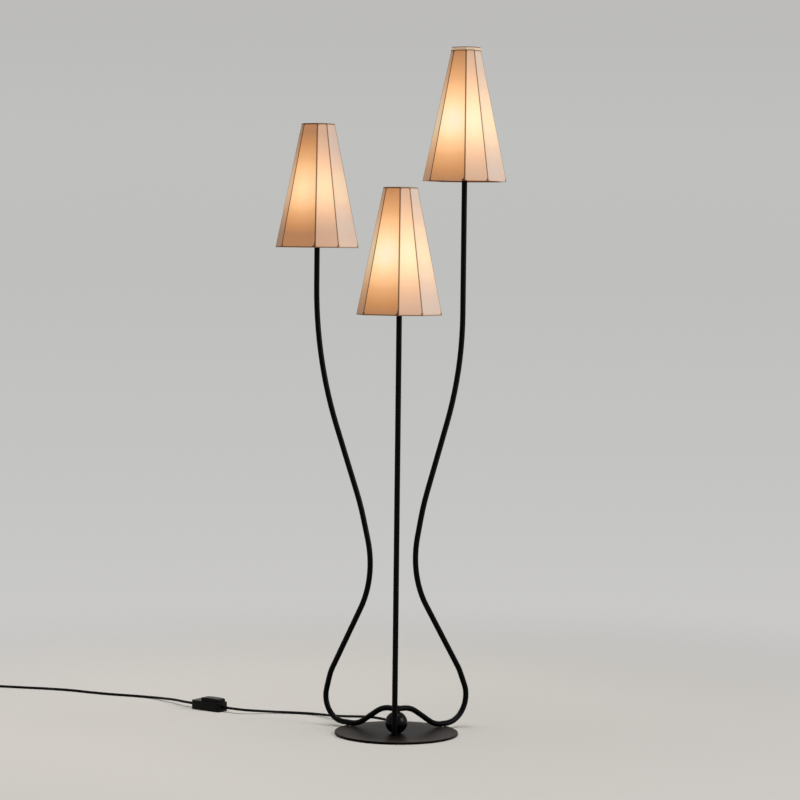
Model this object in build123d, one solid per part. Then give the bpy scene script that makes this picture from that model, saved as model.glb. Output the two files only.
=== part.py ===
from build123d import *
import math
import os

# Tree floor lamp, in millimetres.
# Origin: middle of the round base, on the floor. +X right, +Y back, +Z up.

os.makedirs("parts", exist_ok=True)

# ---- round base ----
base_diameter = 281.0
plate_thickness = 5.0
plate_edge_radius = 1.5
pad_thickness = 1.0
pad_inset = 3.0

# ---- hub ball, in front of the middle of the base ----
ball_diameter = 50.8
ball_wall = 2.5
ball_setback = 22.0
ball_seat_diameter = 16.0
ball_boss_diameter = 18.0
ball_boss_height = 13.0
hub_screw_diameter = 8.0

# ---- steel tube of the three stems ----
tube_diameter = 12.7
tube_wall = 1.2
post_gap = 0.3
post_side_offset = 4.0

# ---- arch coupling on top of the ball ----
coupling_diameter = 16.0
coupling_reach = 10.0
coupling_neck = 6.0
coupling_step = 3.0
seat_clearance = 0.1
coupling_dome_radius = 3.0
spigot_length = 8.0
spigot_wall = 1.1
arch_height = 60.8

# ---- bends that both outer stems share ----
crest_corner = 42.0
crest_radius = 75.0
sole_corner = 119.0
sole_radius = 70.0
calf_radius = 100.0
waist_radius = 200.0
foot_screw_reach = 141.0

# ---- left stem: reach from the ball's axis, and height, of each corner ----
left_bearing = 138.0
left_toe_corner = 239.0
left_toe_radius = 55.0
left_calf_corner = (207.0, 123.0)
left_waist_corner = (69.0, 356.0)
left_knee_corner = (117.0, 516.0)
left_knee_radius = 520.0
left_shoulder_height = 847.0
left_shoulder_radius = 800.0
left_reach = 263.0
left_shade_height = 1103.0

# ---- right stem ----
right_bearing = 42.0
right_toe_corner = 249.0
right_toe_radius = 60.0
right_calf_corner = (193.0, 135.0)
right_waist_corner = (38.0, 363.0)
right_knee_corner = (75.0, 520.0)
right_knee_radius = 500.0
right_shoulder_height = 825.0
right_shoulder_radius = 700.0
right_reach = 191.0
right_shade_height = 1258.0

# ---- centre stem ----
centre_shade_height = 954.5

# ---- screws that hold the stems and the hub to the plate ----
stem_screw_diameter = 6.0
screw_head_ratio = 1.9
screw_head_height_ratio = 0.5
insert_wall = 1.4
insert_height = 4.5
post_plug_length = 16.0
thread_clearance = 0.05
press_clearance = 0.02
face_clearance = 0.05
screw_head_clearance = 0.2

# ---- lampholder, small screw cap size ----
holder_rise = 45.0
holder_diameter = 28.0
holder_height = 56.0
holder_floor = 4.0
holder_edge_radius = 2.0
holder_chamber_wall = 2.0
holder_shoulder_diameter = 36.0
holder_shoulder_height = 32.0
holder_shoulder_thickness = 3.0
partition_height = 26.0
partition_thickness = 2.0
nipple_diameter = 10.0
nipple_bore = 5.0
nipple_length = 15.0
screw_shell_diameter = 15.4
screw_shell_wall = 0.7
screw_shell_recess = 2.0
contact_pin_diameter = 4.8
contact_head_diameter = 7.0
contact_head_thickness = 3.4

# ---- clamp ring that holds the shade on the lampholder ----
clamp_flange_diameter = 38.0
clamp_flange_thickness = 2.4
clamp_skirt_diameter = 34.0
clamp_height = 8.0

# ---- bulb ----
bulb_diameter = 45.0
bulb_cap_diameter = 13.9
bulb_cap_height = 22.5
bulb_cap_wall = 0.5
bulb_cap_chamfer = 2.0
bulb_cap_floor = 2.5
bulb_neck_diameter = 12.4
bulb_tip_diameter = 5.0
bulb_tip_height = 2.0
bulb_glass_wall = 0.9
bulb_glass_height = 56.0
bulb_neck_insert = 6.0
bulb_neck_rise = 1.0
bulb_shoulder_angle = -38.0

# ---- shades: eight panels, narrow and wide in turn ----
rib_angles = (-91.0, -57.0, -1.0, 33.0, 89.0, 123.0, 179.0, 213.0)
shade_bottom_diameter = 192.0
shade_height = 285.0
shade_top_diameter = 76.0
right_shade_tall = 305.0
right_shade_top_diameter = 64.0
fabric_thickness = 1.2
frame_wire = 3.0
frame_inset = 0.25
frame_corner_gap = 0.3
widest_half_turn = 28.0
weld_swell = 1.15
band_height = 8.5
band_thickness = 0.8
band_gap = 0.1
spider_diameter = 46.0
spider_thickness = 2.0
spider_arm_ribs = (1, 3, 5, 7)

# ---- wires inside the stems ----
wire_diameter = 3.0
wire_offset = 2.2
wire_bend = 5.0

# ---- terminal block in the ball ----
terminal_length = 16.0
terminal_width = 13.0
terminal_height = 14.0

# ---- tube from the ball into the centre stem ----
link_diameter = 7.0
link_wall = 1.0
link_overlap = 2.0

# ---- cord ----
cord_diameter = 6.0
cord_floor_gap = 0.2
cord_bearing = 124.0
relief_length = 14.0
relief_root_diameter = 8.6
relief_tip_diameter = 7.0
relief_grooves = (0.3, 0.5, 0.7)
relief_groove_width = 1.4
relief_groove_depth = 0.5
relief_step = 0.2
bush_length = 3.0
arc_share = 0.45
bush_diameter = 8.0

# ---- foot switch on the cord ----
switch_centre = (-445.6, 303.5)
switch_bearing = 143.0
switch_length = 86.0
switch_width = 38.0
switch_height = 22.0
switch_split = 10.5
switch_near_radius = 9.0
switch_far_radius = 7.0
switch_wall = 2.4
switch_edge_radius = 1.2
pedal_length = 55.0
pedal_width = 28.0
pedal_rise = 8.5
pedal_depth = 6.0
pedal_gap = 0.6
pedal_shift = 11.5
pedal_near_radius = 5.0
pedal_far_radius = 3.0
pedal_edge_radius = 2.5
pedal_near_drop = 1.0
pedal_far_drop = 0.7
pedal_ceiling = 3.5
pedal_pivot_inset = 8.0
pedal_wall = 2.0
trunnion_diameter = 3.0
trunnion_length = 1.6
spring_diameter = 7.0
spring_wire = 0.7
spring_turns = 7
spring_gap = 0.1
spring_inset = 8.0
switch_screw_diameter = 3.0
switch_screw_length = 8.0
switch_screw_inset = 6.5
switch_screw_offset = 11.5
switch_screw_recess = 1.4
switch_boss_overlap = 0.5
pivot_block_length = 8.0
smallest_corner = 0.5
contact_length = 10.0
contact_spacing = 12.0
contact_middle = -14.0
contact_width = 4.0
contact_height = 4.0

# ---- flat two-pin plug ----
plug_width = 35.0
plug_neck_width = 14.0
plug_body_length = 36.0
plug_body_thickness = 14.0
plug_corner_radius = 3.0
plug_edge_radius = 2.0
plug_flare_share = 0.45
plug_relief_overlap = 2.0
plug_pin_diameter = 4.0
plug_pin_length = 19.0
plug_pin_spacing = 18.6
plug_pin_socket = 10.0
plug_pin_shank_diameter = 3.2
plug_bearing = 283.0

# ---- coil of the length put away ----
coil_radius = 39.9
coil_pitch = 6.6
coil_turns_in = 1.75
coil_turns_out = 2.0
coil_start_bearing = 77.0
coil_climb_turns = 0.5
coil_join_run = 26.0
tail_run = 20.0
switch_run = 24.0
hub_run = 22.0
tie_thickness = 0.8
tie_width = 8.0
tie_gap = 0.5

# ---- derived places ----
plate_top = pad_thickness + plate_thickness
tube_radius = tube_diameter / 2
bore_radius = tube_radius - tube_wall
ball_radius = ball_diameter / 2
seat_drop = math.sqrt(ball_radius**2 - (ball_seat_diameter / 2) ** 2)
crown_drop = math.sqrt(ball_radius**2 - (coupling_diameter / 2) ** 2)
ball_x = 0.0
ball_y = -ball_setback
ball_z = plate_top + seat_drop
ball_crown = ball_z + crown_drop
sole_height = plate_top + tube_radius
post_distance = ball_radius + tube_radius + post_gap
post_x = ball_x - post_side_offset
post_y = ball_y - math.sqrt(post_distance**2 - post_side_offset**2)
post_bearing = math.degrees(math.atan2(post_y - ball_y, post_x - ball_x))
cord_radius = cord_diameter / 2
cord_height = cord_radius + cord_floor_gap
coil_low = tie_thickness + cord_floor_gap + cord_radius
coil_high = coil_low + coil_pitch
switch_exit_height = switch_split

STEMS = {
    "left": dict(bearing=left_bearing, reach=left_reach, shade=left_shade_height),
    "right": dict(bearing=right_bearing, reach=right_reach, shade=right_shade_height),
    "centre": dict(bearing=post_bearing, reach=post_distance, shade=centre_shade_height),
}


def direction(bearing):
    """Level unit vector at a bearing, counted from +X towards +Y."""
    return Vector(math.cos(math.radians(bearing)), math.sin(math.radians(bearing)), 0)


def from_ball(bearing, reach, height):
    """Point at a reach from the ball's upright axis."""
    return Vector(ball_x, ball_y, height) + direction(bearing) * reach


def stem_axis(side):
    stem = STEMS[side]
    return from_ball(stem["bearing"], stem["reach"], 0)


def holder_base(side):
    return STEMS[side]["shade"] + holder_rise


def put(shape, x, y, z=0.0):
    return Pos(x, y, z) * shape


def at_stem(shape, side, height=0.0):
    """Moves a shape made on the Z axis onto a stem's upright end."""
    axis = stem_axis(side)
    return put(shape, axis.X, axis.Y, height)


def disc(radius, low, high):
    """Upright cylinder between two heights."""
    return Pos(0, 0, low) * Cylinder(radius, high - low, align=(Align.CENTER, Align.CENTER, Align.MIN))


def ring(outer, inner, low, high):
    return disc(outer, low, high) - disc(inner, low - 1, high + 1)


def rod(start, end, radius, end_radius=None):
    """Straight round bar between two points, tapered when a second radius is given."""
    along = end - start
    plane = Plane(origin=start, z_dir=along)
    align = (Align.CENTER, Align.CENTER, Align.MIN)
    if end_radius is None:
        return plane * Cylinder(radius, along.length, align=align)
    return plane * Cone(radius, end_radius, along.length, align=align)


def tube_along(path, outer, inner=0.0):
    """Round section carried along a path of straight runs and tangent arcs."""
    start = Plane(origin=path @ 0, z_dir=path % 0)
    section = Circle(outer)
    if inner > 0:
        section = section - Circle(inner)
    return sweep(start * section, path=path)


def save(name, *solids):
    """Writes one node: one solid, or a group of separate solids."""
    loose = [solid for shape in solids for solid in shape.solids()]
    shape = loose[0] if len(loose) == 1 else Compound(children=loose)
    export_step(shape, "parts/" + name + ".step")


# ---- paths ----
def stem_corners(side):
    """Corners of an outer stem in its own upright plane, as reach and height."""
    shared = [(crest_corner, arch_height), (sole_corner, sole_height)]
    if side == "left":
        own = [(left_toe_corner, sole_height), left_calf_corner, left_waist_corner, left_knee_corner]
        own.append((left_reach, left_shoulder_height))
    else:
        own = [(right_toe_corner, sole_height), right_calf_corner, right_waist_corner, right_knee_corner]
        own.append((right_reach, right_shoulder_height))
    return shared + own


def stem_radii(side):
    shared = [crest_radius, sole_radius]
    if side == "left":
        return shared + [left_toe_radius, calf_radius, waist_radius, left_knee_radius, left_shoulder_radius]
    return shared + [right_toe_radius, calf_radius, waist_radius, right_knee_radius, right_shoulder_radius]


def upright_path(bearing, corners, radii):
    """Path in the upright plane at a bearing from the ball's axis."""
    points = [from_ball(bearing, reach, height) for reach, height in corners]
    return FilletPolyline(*points, radius=radii)


def outer_stem_path(side):
    start = (coupling_reach, arch_height)
    end = (STEMS[side]["reach"], holder_base(side))
    return upright_path(STEMS[side]["bearing"], [start] + stem_corners(side) + [end], stem_radii(side))


# ---- base ----
def countersunk(diameter, x, y, length):
    """Countersunk screw set in the plate from below, and the space it needs."""
    head = diameter * screw_head_ratio / 2
    depth = diameter * screw_head_height_ratio
    low = pad_thickness + face_clearance
    shank = disc(diameter / 2, low, low + length)
    shank += Pos(0, 0, low + depth / 2) * Cone(head, diameter / 2, depth)
    shank -= disc(diameter / 4, low - 1, low + depth / 2)
    gap = diameter / 2 + thread_clearance
    space = disc(gap, pad_thickness - 1, pad_thickness + length + 1)
    wide = head + screw_head_clearance
    space += Pos(0, 0, pad_thickness + depth / 2) * Cone(wide, gap, depth + 2 * face_clearance)
    space += disc(wide, pad_thickness - 1, low)
    return put(shank, x, y), put(space, x, y)


hub_screw_length = plate_thickness + ball_boss_height
hub_screw, hub_screw_space = countersunk(hub_screw_diameter, ball_x, ball_y, hub_screw_length)
left_foot = from_ball(left_bearing, foot_screw_reach, 0)
right_foot = from_ball(right_bearing, foot_screw_reach, 0)
post_foot = stem_axis("centre")
foot_places = [left_foot, right_foot]
stem_screw_length = plate_thickness + insert_height
stem_screws = [
    countersunk(stem_screw_diameter, foot.X, foot.Y, stem_screw_length) for foot in foot_places + [post_foot]
]

plate = disc(base_diameter / 2, pad_thickness, plate_top)
plate = fillet(plate.edges().group_by(Axis.Z)[-1], plate_edge_radius)
plate -= hub_screw_space
for _, space in stem_screws:
    plate -= space
save("base_plate", plate)
save("base_pad", disc(base_diameter / 2 - pad_inset, 0, pad_thickness))
save("hub_screw", hub_screw)
save("stem_screws", *[screw for screw, _ in stem_screws])

# ---- hub ball ----
cord_out = direction(cord_bearing)
ball_centre = Vector(ball_x, ball_y, ball_z)
link_out = direction(post_bearing)
ball = Pos(ball_x, ball_y, ball_z) * Sphere(ball_radius)
ball -= Pos(ball_x, ball_y, ball_z) * Sphere(ball_radius - ball_wall)
boss = disc(ball_boss_diameter / 2, plate_top, plate_top + ball_boss_height)
ball += put(boss, ball_x, ball_y) & (Pos(ball_x, ball_y, ball_z) * Sphere(ball_radius))
ball -= put(disc(ball_radius, 0, plate_top), ball_x, ball_y)
seat = disc(coupling_diameter / 2 + seat_clearance, ball_crown, ball_crown + ball_radius)
ball -= put(seat, ball_x, ball_y)
ball -= hub_screw_space
neck_radius = coupling_diameter / 2 - coupling_step
ball -= put(disc(neck_radius + press_clearance, ball_z, ball_crown + 1), ball_x, ball_y)
for out, hole in ((cord_out, bush_diameter), (link_out, link_diameter)):
    ball -= rod(ball_centre + out * ball_boss_diameter / 2, ball_centre + out * ball_diameter, hole / 2)
save("hub_ball", ball)

# ---- terminal block on the boss inside the ball ----
block_low = plate_top + ball_boss_height + face_clearance
block = Pos(0, 0, block_low) * Box(
    terminal_length, terminal_width, terminal_height, align=(Align.CENTER, Align.CENTER, Align.MIN)
)
save("terminal_block", Pos(ball_x, ball_y, 0) * Rot(0, 0, post_bearing) * block)
block_top = block_low + terminal_height

# ---- arch coupling: neck in the ball, two spigots in the stems ----
coupling = disc(coupling_diameter / 2, ball_crown, arch_height + coupling_diameter / 2)
coupling = fillet(coupling.edges().group_by(Axis.Z)[-1], coupling_dome_radius)
coupling += disc(neck_radius, ball_crown - coupling_neck, ball_crown + 1)
channel_radius = bore_radius - press_clearance - spigot_wall
for side in ("left", "right"):
    out = direction(STEMS[side]["bearing"])
    middle = Vector(0, 0, arch_height)
    coupling += rod(middle, middle + out * (coupling_reach - press_clearance), tube_radius)
    coupling += rod(middle, middle + out * (coupling_reach + spigot_length), bore_radius - press_clearance)
for side in ("left", "right"):
    out = direction(STEMS[side]["bearing"])
    middle = Vector(0, 0, arch_height)
    coupling -= rod(middle, middle + out * (coupling_reach + spigot_length + 1), channel_radius)
coupling -= disc(channel_radius, ball_crown - coupling_neck - 1, arch_height)
coupling -= Pos(0, 0, arch_height) * Sphere(channel_radius)
save("arch_coupling", put(coupling, ball_x, ball_y))

# ---- link tube from the ball into the centre stem ----
link_start = ball_centre + link_out * (ball_radius - ball_wall - link_overlap)
link_end = ball_centre + link_out * (post_distance - bore_radius + link_overlap)
link = rod(link_start, link_end, link_diameter / 2 - press_clearance)
link -= rod(link_start, link_end, link_diameter / 2 - link_wall)
save("post_link", link)

# ---- stems ----
foot_hole = stem_screw_diameter / 2 + insert_wall
inserts = []
for side, foot in (("left", left_foot), ("right", right_foot)):
    stem = tube_along(outer_stem_path(side), tube_radius, bore_radius)
    stem -= put(disc(foot_hole, plate_top - 1, sole_height), foot.X, foot.Y)
    save(side + "_stem", stem)
    insert = ring(foot_hole - press_clearance, stem_screw_diameter / 2 + thread_clearance, 0, insert_height)
    inserts.append(put(insert, foot.X, foot.Y, plate_top + face_clearance))

post = ring(tube_radius, bore_radius, plate_top, holder_base("centre"))
post_stem = at_stem(post, "centre")
post_stem -= rod(ball_centre, link_end, link_diameter / 2)
save("centre_stem", post_stem)
screw_hole = stem_screw_diameter / 2 + thread_clearance
plug_ring = ring(bore_radius - press_clearance, screw_hole, 0, post_plug_length)
inserts.append(at_stem(plug_ring, "centre", plate_top + face_clearance))
save("stem_inserts", *inserts)

# ---- nipples that join each stem to its lampholder ----
nipple = ring(nipple_diameter / 2, nipple_bore / 2, holder_floor + 1 - nipple_length, holder_floor + 1)
save("stem_nipples", *[at_stem(nipple, side, holder_base(side)) for side in STEMS])


# ---- wires: from the terminal block through each stem to its lampholder ----
def wire_end(side):
    return holder_base(side) + partition_height - contact_pin_diameter - face_clearance


for side in ("left", "right"):
    corners = [(wire_offset, block_top + face_clearance), (wire_offset, arch_height)] + stem_corners(side)
    corners.append((STEMS[side]["reach"], wire_end(side)))
    wire_path = upright_path(STEMS[side]["bearing"], corners, [wire_bend] + stem_radii(side))
    save(side + "_wire", tube_along(wire_path, wire_diameter / 2))
wire_start = (terminal_length / 2 + face_clearance, ball_z)
centre_corners = [wire_start, (post_distance, ball_z), (post_distance, wire_end("centre"))]
centre_wire_path = upright_path(post_bearing, centre_corners, [wire_bend])
save("centre_wire", tube_along(centre_wire_path, wire_diameter / 2))


# ---- lampholder ----
def lampholder():
    outer = holder_diameter / 2
    body = disc(outer, 0, holder_height)
    flange_low = holder_shoulder_height - holder_shoulder_thickness
    body += disc(holder_shoulder_diameter / 2, flange_low, holder_shoulder_height)
    body = fillet(body.edges().group_by(Axis.Z)[0], holder_edge_radius)
    body -= disc(outer - holder_chamber_wall, holder_floor, partition_height)
    body -= disc(nipple_diameter / 2 + thread_clearance, -1, holder_floor + 1)
    body -= disc(contact_pin_diameter / 2 + press_clearance, 0, holder_height)
    socket = screw_shell_diameter / 2 + press_clearance
    body -= disc(socket, partition_height + partition_thickness, holder_height + 1)
    return body


def socket_contacts():
    floor = partition_height + partition_thickness + face_clearance
    shell_outer = screw_shell_diameter / 2
    shell = ring(shell_outer, shell_outer - screw_shell_wall, floor, holder_height - screw_shell_recess)
    head = disc(contact_head_diameter / 2, floor, floor + contact_head_thickness)
    pin = disc(contact_pin_diameter / 2, partition_height - contact_pin_diameter, floor + face_clearance)
    return shell, head + pin


contact_top = partition_height + partition_thickness + face_clearance + contact_head_thickness
tip_low = contact_top + face_clearance
cap_low = tip_low + bulb_tip_height + face_clearance
cap_high = cap_low + bulb_cap_height
thread_radius = holder_diameter / 2 + thread_clearance


def clamp_ring():
    low = holder_shoulder_height + spider_thickness + 2 * face_clearance
    collar = ring(clamp_flange_diameter / 2, thread_radius, low, low + clamp_flange_thickness)
    return collar + ring(clamp_skirt_diameter / 2, thread_radius, low, low + clamp_height)


def bulb_cap():
    outer = bulb_cap_diameter / 2
    cup = disc(outer, cap_low, cap_high)
    cup = chamfer(cup.edges().group_by(Axis.Z)[0], bulb_cap_chamfer)
    return cup - disc(outer - bulb_cap_wall, cap_low + bulb_cap_floor, cap_high + 1)


def bulb_profile(inset):
    """Half outline of the glass, drawn in by an inset, from the neck to the crown."""
    neck = bulb_neck_diameter / 2 - inset
    radius = bulb_diameter / 2 - inset
    low = cap_high - bulb_neck_insert
    top = low + bulb_glass_height - inset
    centre = top - radius
    neck_top = cap_high + bulb_neck_rise
    slope = math.radians(bulb_shoulder_angle)
    joint = (radius * math.cos(slope), centre + radius * math.sin(slope))
    outline = Polyline((0, low + inset), (neck, low + inset), (neck, neck_top))
    outline += Spline(
        (neck, neck_top), joint, tangents=[(0, 1), (-math.sin(slope), math.cos(slope))]
    )
    outline += ThreePointArc(joint, (radius, centre), (0, top))
    outline += Line((0, top), (0, low + inset))
    return make_face(outline)


def bulb_glass():
    outer = revolve(Plane.XZ * bulb_profile(0), axis=Axis.Z)
    inner = revolve(Plane.XZ * bulb_profile(bulb_glass_wall), axis=Axis.Z)
    return outer - inner


for side in STEMS:
    base = holder_base(side)
    save(side + "_lampholder", at_stem(lampholder(), side, base))
    save(side + "_contacts", *[at_stem(piece, side, base) for piece in socket_contacts()])
    save(side + "_clamp_ring", at_stem(clamp_ring(), side, base))
    tip = disc(bulb_tip_diameter / 2, tip_low, tip_low + bulb_tip_height)
    save(side + "_bulb_tip", at_stem(tip, side, base))
    save(side + "_bulb_cap", at_stem(bulb_cap(), side, base))
    save(side + "_bulb_glass", at_stem(bulb_glass(), side, base))


# ---- shades ----
def corner(angle, radius, height):
    """Corner of a shade: angle 0 faces the front, positive towards the right."""
    turn = math.radians(angle)
    return Vector(radius * math.sin(turn), -radius * math.cos(turn), height)


def cone_radius(height, tall, bottom, top):
    return bottom + (top - bottom) * height / tall


def panel(first, second, tall, bottom, top, thickness, low=0.0, high=None, outset=0.0):
    """One flat side of an eight-sided cone, mitred against its neighbours."""
    high = tall if high is None else high
    faces = []
    for height in (low, high):
        outer = cone_radius(height, tall, bottom, top) + outset
        inner = outer - thickness
        points = [corner(first, outer, height), corner(second, outer, height)]
        points += [corner(second, inner, height), corner(first, inner, height)]
        faces.append(make_face(Polyline(*points, close=True)))
    return loft(faces, ruled=True)


def neighbours():
    turned = rib_angles[1:] + (rib_angles[0] + 360.0,)
    return list(zip(rib_angles, turned))


def frame_line_inset():
    """How far inside a shade's corner the middle of its rib lies."""
    inset = fabric_thickness + frame_wire / 2 + frame_inset
    return inset / math.cos(math.radians(widest_half_turn)) + frame_corner_gap


def shade_ribs(tall, bottom, top):
    """Wire frame: a rib in each corner, and a ring at each end."""
    inset = frame_line_inset()
    radius = frame_wire / 2
    low = radius
    high = tall - radius
    wires = []
    for first, second in neighbours():
        foot = corner(first, cone_radius(low, tall, bottom, top) - inset, low)
        head = corner(first, cone_radius(high, tall, bottom, top) - inset, high)
        next_foot = corner(second, cone_radius(low, tall, bottom, top) - inset, low)
        next_head = corner(second, cone_radius(high, tall, bottom, top) - inset, high)
        wires += [rod(foot, head, radius), rod(foot, next_foot, radius), rod(head, next_head, radius)]
        bead = Sphere(radius * weld_swell)
        wires += [Pos(foot.X, foot.Y, foot.Z + radius * (weld_swell - 1)) * bead]
        wires += [Pos(head.X, head.Y, head.Z - radius * (weld_swell - 1)) * bead]
    return wires[0].fuse(*wires[1:])


def spider(tall, bottom, top):
    """Ring that sits on the lampholder, with four arms to the ribs."""
    low = holder_rise + holder_shoulder_height + face_clearance
    middle = low + spider_thickness / 2
    hub = ring(spider_diameter / 2, holder_diameter / 2 + seat_clearance, low, low + spider_thickness)
    inset = frame_line_inset()
    slope = math.atan2(bottom - top, tall)
    wire_reach = frame_wire / 2 * (1 / math.cos(slope) + math.tan(slope))
    end = cone_radius(middle, tall, bottom, top) - inset - wire_reach - face_clearance
    for index in spider_arm_ribs:
        start = corner(rib_angles[index], spider_diameter / 2 - frame_wire / 2, middle)
        tip = corner(rib_angles[index], end, middle)
        hub += rod(start, tip, frame_wire / 2)
    return hub


shade_sizes = {
    "left": (shade_height, shade_bottom_diameter / 2, shade_top_diameter / 2),
    "centre": (shade_height, shade_bottom_diameter / 2, shade_top_diameter / 2),
    "right": (right_shade_tall, shade_bottom_diameter / 2, right_shade_top_diameter / 2),
}
for side, (tall, bottom, top) in shade_sizes.items():
    level = STEMS[side]["shade"]
    panels = [panel(first, second, tall, bottom, top, fabric_thickness) for first, second in neighbours()]
    save(side + "_shade_fabric", *[at_stem(piece, side, level) for piece in panels])
    save(side + "_shade_ribs", at_stem(shade_ribs(tall, bottom, top), side, level))
    save(side + "_shade_spider", at_stem(spider(tall, bottom, top), side, level))

tall, bottom, top = shade_sizes["right"]
band_low = tall - band_height
band_out = band_thickness + band_gap
band = [
    panel(first, second, tall, bottom, top, band_thickness, band_low, tall, band_out)
    for first, second in neighbours()
]
save("right_shade_band", *[at_stem(piece, "right", right_shade_height) for piece in band])


# ---- cord ----
def route_radii(points):
    """Bend radius at each inner point, as large as its two runs allow."""
    radii = []
    for before, here, after in zip(points, points[1:], points[2:]):
        run_in = here - before
        run_out = after - here
        half_turn = math.radians(run_in.get_angle(run_out)) / 2
        radii.append(arc_share * min(run_in.length, run_out.length) / math.tan(half_turn))
    return radii


def cord_tube(name, points):
    radii = route_radii(points)
    path = FilletPolyline(*points, radius=radii)
    tube = tube_along(path, cord_radius)
    section = math.pi * cord_radius**2
    print(name, "length", round(path.length, 1), "radii", [round(radius) for radius in radii])
    print(name, "volume over section times length", round(tube.volume / section / path.length, 5))
    save(name, tube)
    return path.length


def tapered_relief(start, along, root, tip, length=relief_length):
    """Ribbed sleeve where the cord leaves a housing: a taper with three shallow grooves."""
    sleeve = rod(start, start + along * length, root / 2, tip / 2)
    for share in relief_grooves:
        middle = start + along * length * share
        radius = root / 2 + (tip - root) / 2 * share
        groove = rod(middle, middle + along * relief_groove_width, radius + 1)
        groove -= rod(middle - along, middle + along * 2 * relief_groove_width, radius - relief_groove_depth)
        sleeve -= groove
    return sleeve


bush_start = ball_centre + cord_out * (ball_radius - ball_wall - 1)
relief_start = ball_centre + cord_out * (ball_radius - relief_step)
hub_relief = tapered_relief(relief_start, cord_out, relief_root_diameter, relief_tip_diameter)
hub_relief -= Pos(ball_x, ball_y, ball_z) * Sphere(ball_radius + face_clearance)
hub_relief += rod(bush_start, relief_start + cord_out * 2, bush_diameter / 2 - press_clearance)
save("hub_relief", hub_relief)

hub_exit = relief_start + cord_out * relief_length
switch_along = direction(switch_bearing)
switch_middle = Vector(switch_centre[0], switch_centre[1], switch_exit_height)
switch_near_exit = switch_middle - switch_along * (switch_length / 2 + relief_length)
switch_far_exit = switch_middle + switch_along * (switch_length / 2 + relief_length)

lead_points = [
    hub_exit,
    hub_exit + cord_out * hub_run,
    Vector(-63, 67, 27.5),
    Vector(-90, 101, 22),
    Vector(-120, 143, 15),
    Vector(-152, 194, 7.5),
    Vector(-190, 240, 3.6),
    Vector(-222, 253, cord_height),
    Vector(-256, 259, 3.4),
    Vector(-290, 258, 4.4),
    Vector(-324, 253, 6.8),
    Vector(-354, 248, 9.0),
    switch_near_exit - switch_along * switch_run,
    switch_near_exit,
]
lead_length = cord_tube("cord_lead", lead_points)

coil_start_angle = math.radians(coil_start_bearing)
coil_entry = Vector(-1045, 614, coil_low)
coil_entry_along = direction(coil_start_bearing + 90)
coil_middle = coil_entry - direction(coil_start_bearing) * coil_radius
coil_join = coil_entry - coil_entry_along * cord_diameter
run_points = [
    switch_far_exit,
    switch_far_exit + switch_along * switch_run,
    Vector(-532, 385, 9.4),
    Vector(-554, 412, 7.2),
    Vector(-577, 440, 4.6),
    Vector(-603, 461, cord_height),
    Vector(-644, 479, cord_height),
    Vector(-700, 497, cord_height),
    Vector(-755, 524, cord_height),
    Vector(-810, 556, cord_height),
    Vector(-870, 575, cord_height),
    Vector(-935, 589, cord_height),
    Vector(-985, 602, cord_height),
    coil_join - coil_entry_along * coil_join_run,
    coil_join,
]
run_length = cord_tube("cord_run", run_points)


# ---- coil: in on the floor layer, up half a turn, out on the top layer ----
def coil_point(turns):
    reversal = coil_turns_in + coil_climb_turns / 2
    radius = coil_radius - coil_pitch * (reversal - abs(turns - reversal))
    climb = min(1.0, max(0.0, (turns - coil_turns_in) / coil_climb_turns))
    angle = coil_start_angle + 2 * math.pi * turns
    height = coil_low + (coil_high - coil_low) * climb
    middle = Vector(coil_middle.X, coil_middle.Y, height)
    return middle + Vector(math.cos(angle), math.sin(angle), 0) * radius


def coil_tangent(turns):
    if turns <= 0:
        return coil_entry_along
    if turns >= coil_turns:
        return direction(coil_start_bearing + 90 + 360 * coil_turns)
    return (coil_point(turns + 0.05) - coil_point(turns - 0.05)).normalized()


def biarc(start, start_along, end, end_along):
    """Two arcs that meet smoothly and have the given ends and directions."""
    across = end - start
    total = start_along + end_along
    spread = 2 * (1 - start_along.dot(end_along))
    reach = (-across.dot(total) + math.sqrt(across.dot(total) ** 2 + spread * across.dot(across))) / spread
    middle = (start + end + (start_along - end_along) * reach) * 0.5
    first = TangentArc(start, middle, tangent=start_along)
    second = TangentArc(middle, end, tangent=first % 1)
    return [first, second]


coil_turns = coil_turns_in + coil_climb_turns + coil_turns_out
coil_steps = round(coil_turns * 4)
coil_edges = [Line(coil_join, coil_entry)]
for step in range(coil_steps):
    here = step / 4
    there = (step + 1) / 4
    coil_edges += biarc(coil_point(here), coil_tangent(here), coil_point(there), coil_tangent(there))
coil_exit = coil_point(coil_turns)
coil_exit_along = coil_tangent(coil_turns)
tail_start = coil_exit + coil_exit_along * cord_diameter
coil_edges.append(Line(coil_exit, tail_start))
coil_path = Wire(coil_edges)
coil = tube_along(coil_path, cord_radius)
save("cord_coil", coil)
samples_per_turn = 96
sample_count = int(coil_turns * samples_per_turn) + 1
coil_samples = [coil_point(index / samples_per_turn) for index in range(sample_count)]
half_turn = samples_per_turn // 2
coil_gap = min(
    (here - there).length
    for index, here in enumerate(coil_samples)
    for there in coil_samples[index + half_turn :]
)
print("cord_coil length", round(coil_path.length, 1))
print("cord_coil least gap to itself", round(coil_gap - cord_diameter, 2))

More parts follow.
